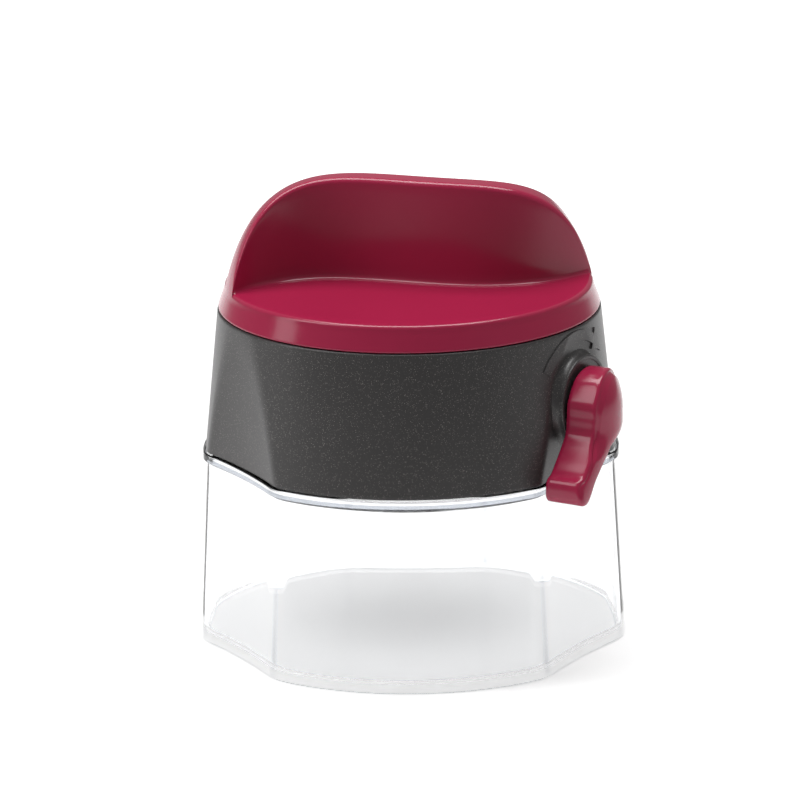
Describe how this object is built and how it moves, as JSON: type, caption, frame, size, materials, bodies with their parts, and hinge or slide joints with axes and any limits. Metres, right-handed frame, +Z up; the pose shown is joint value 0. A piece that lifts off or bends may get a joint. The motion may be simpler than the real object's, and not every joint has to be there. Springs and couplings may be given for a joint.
{
  "type": "apple peeler corer",
  "caption": "Hand apple peeler and corer: clear catch bowl, housing with a side lever that sweeps a blade, and a twist cap that turns the apple on a corer tube.",
  "frame": {"origin": "centre of the bowl's underside, on the surface it stands on", "axes": "+Z up along the cap's turning axis, -Y is the front, the lever is on the flat that faces +X and -Y"},
  "size_m": [0.1519, 0.1451, 0.1644],
  "materials": {
    "clear_bowl": "clear, polished",
    "dark_housing": "dark grey with fine pale speckle, satin",
    "dark_inside": "satin",
    "pale_plastic": "natural acetal, satin",
    "steel": "stainless",
    "red_cap": "raspberry red, gloss",
    "red_lever": "raspberry red, gloss"
  },
  "bodies": {
    "bowl": {"bowl": "clear_bowl"},
    "housing": {"housing": "dark_housing", "peel_deck": "dark_inside", "deck_screw_1": "steel", "deck_screw_2": "steel", "deck_screw_3": "steel", "corer_tube": "steel", "corer_collar": "pale_plastic", "pivot_bush": "pale_plastic", "thrust_washer": "steel"},
    "lever": {"lever": "red_lever", "lever_shaft": "steel", "shaft_clip": "steel", "blade_arm": "dark_inside", "arm_nut": "steel", "blade_spring": "steel"},
    "blade_head": {"blade_holder": "dark_inside", "peeler_blade": "steel", "blade_pin": "steel"},
    "ring": {"bearing_ring": "pale_plastic"},
    "cap": {"cap": "red_cap", "cap_plate": "dark_inside", "cap_screw_1": "steel", "cap_screw_2": "steel", "cap_screw_3": "steel", "spindle_spring": "steel"},
    "fork": {"spindle": "steel", "fork_disc": "dark_inside", "fork_nut": "steel", "fork_prong_1": "steel", "fork_prong_2": "steel", "fork_prong_3": "steel", "fork_prong_4": "steel"}
  },
  "joints": [
    {"name": "housing_lift", "type": "slide", "parent": "bowl", "child": "housing", "axis": [0, 0, 1], "range_m": [0, 0.08]},
    {"name": "lever_turn", "type": "hinge", "parent": "housing", "child": "lever", "pos_m": [0, 0, 0.094], "axis": [-0.866, 0.5, 0], "range_deg": [0, 60]},
    {"name": "blade_follow", "type": "hinge", "parent": "lever", "child": "blade_head", "pos_m": [0.03257, 0.02441, 0.1006], "axis": [0.0868, 0.1504, -0.9848], "range_deg": [-16, 16], "stiffness_Nm_per_rad": 0.05},
    {"name": "cap_lift", "type": "slide", "parent": "housing", "child": "ring", "axis": [0, 0, 1], "range_m": [0, 0.06]},
    {"name": "cap_turn", "type": "hinge", "parent": "ring", "child": "cap", "pos_m": [0, 0, 0.119], "axis": [0, 0, 1], "continuous": true},
    {"name": "fork_press", "type": "slide", "parent": "cap", "child": "fork", "axis": [0, 0, 1], "range_m": [0, 0.012], "stiffness_N_per_m": 250, "springref_m": -0.004, "deforming": ["spindle_spring"]}
  ]
}
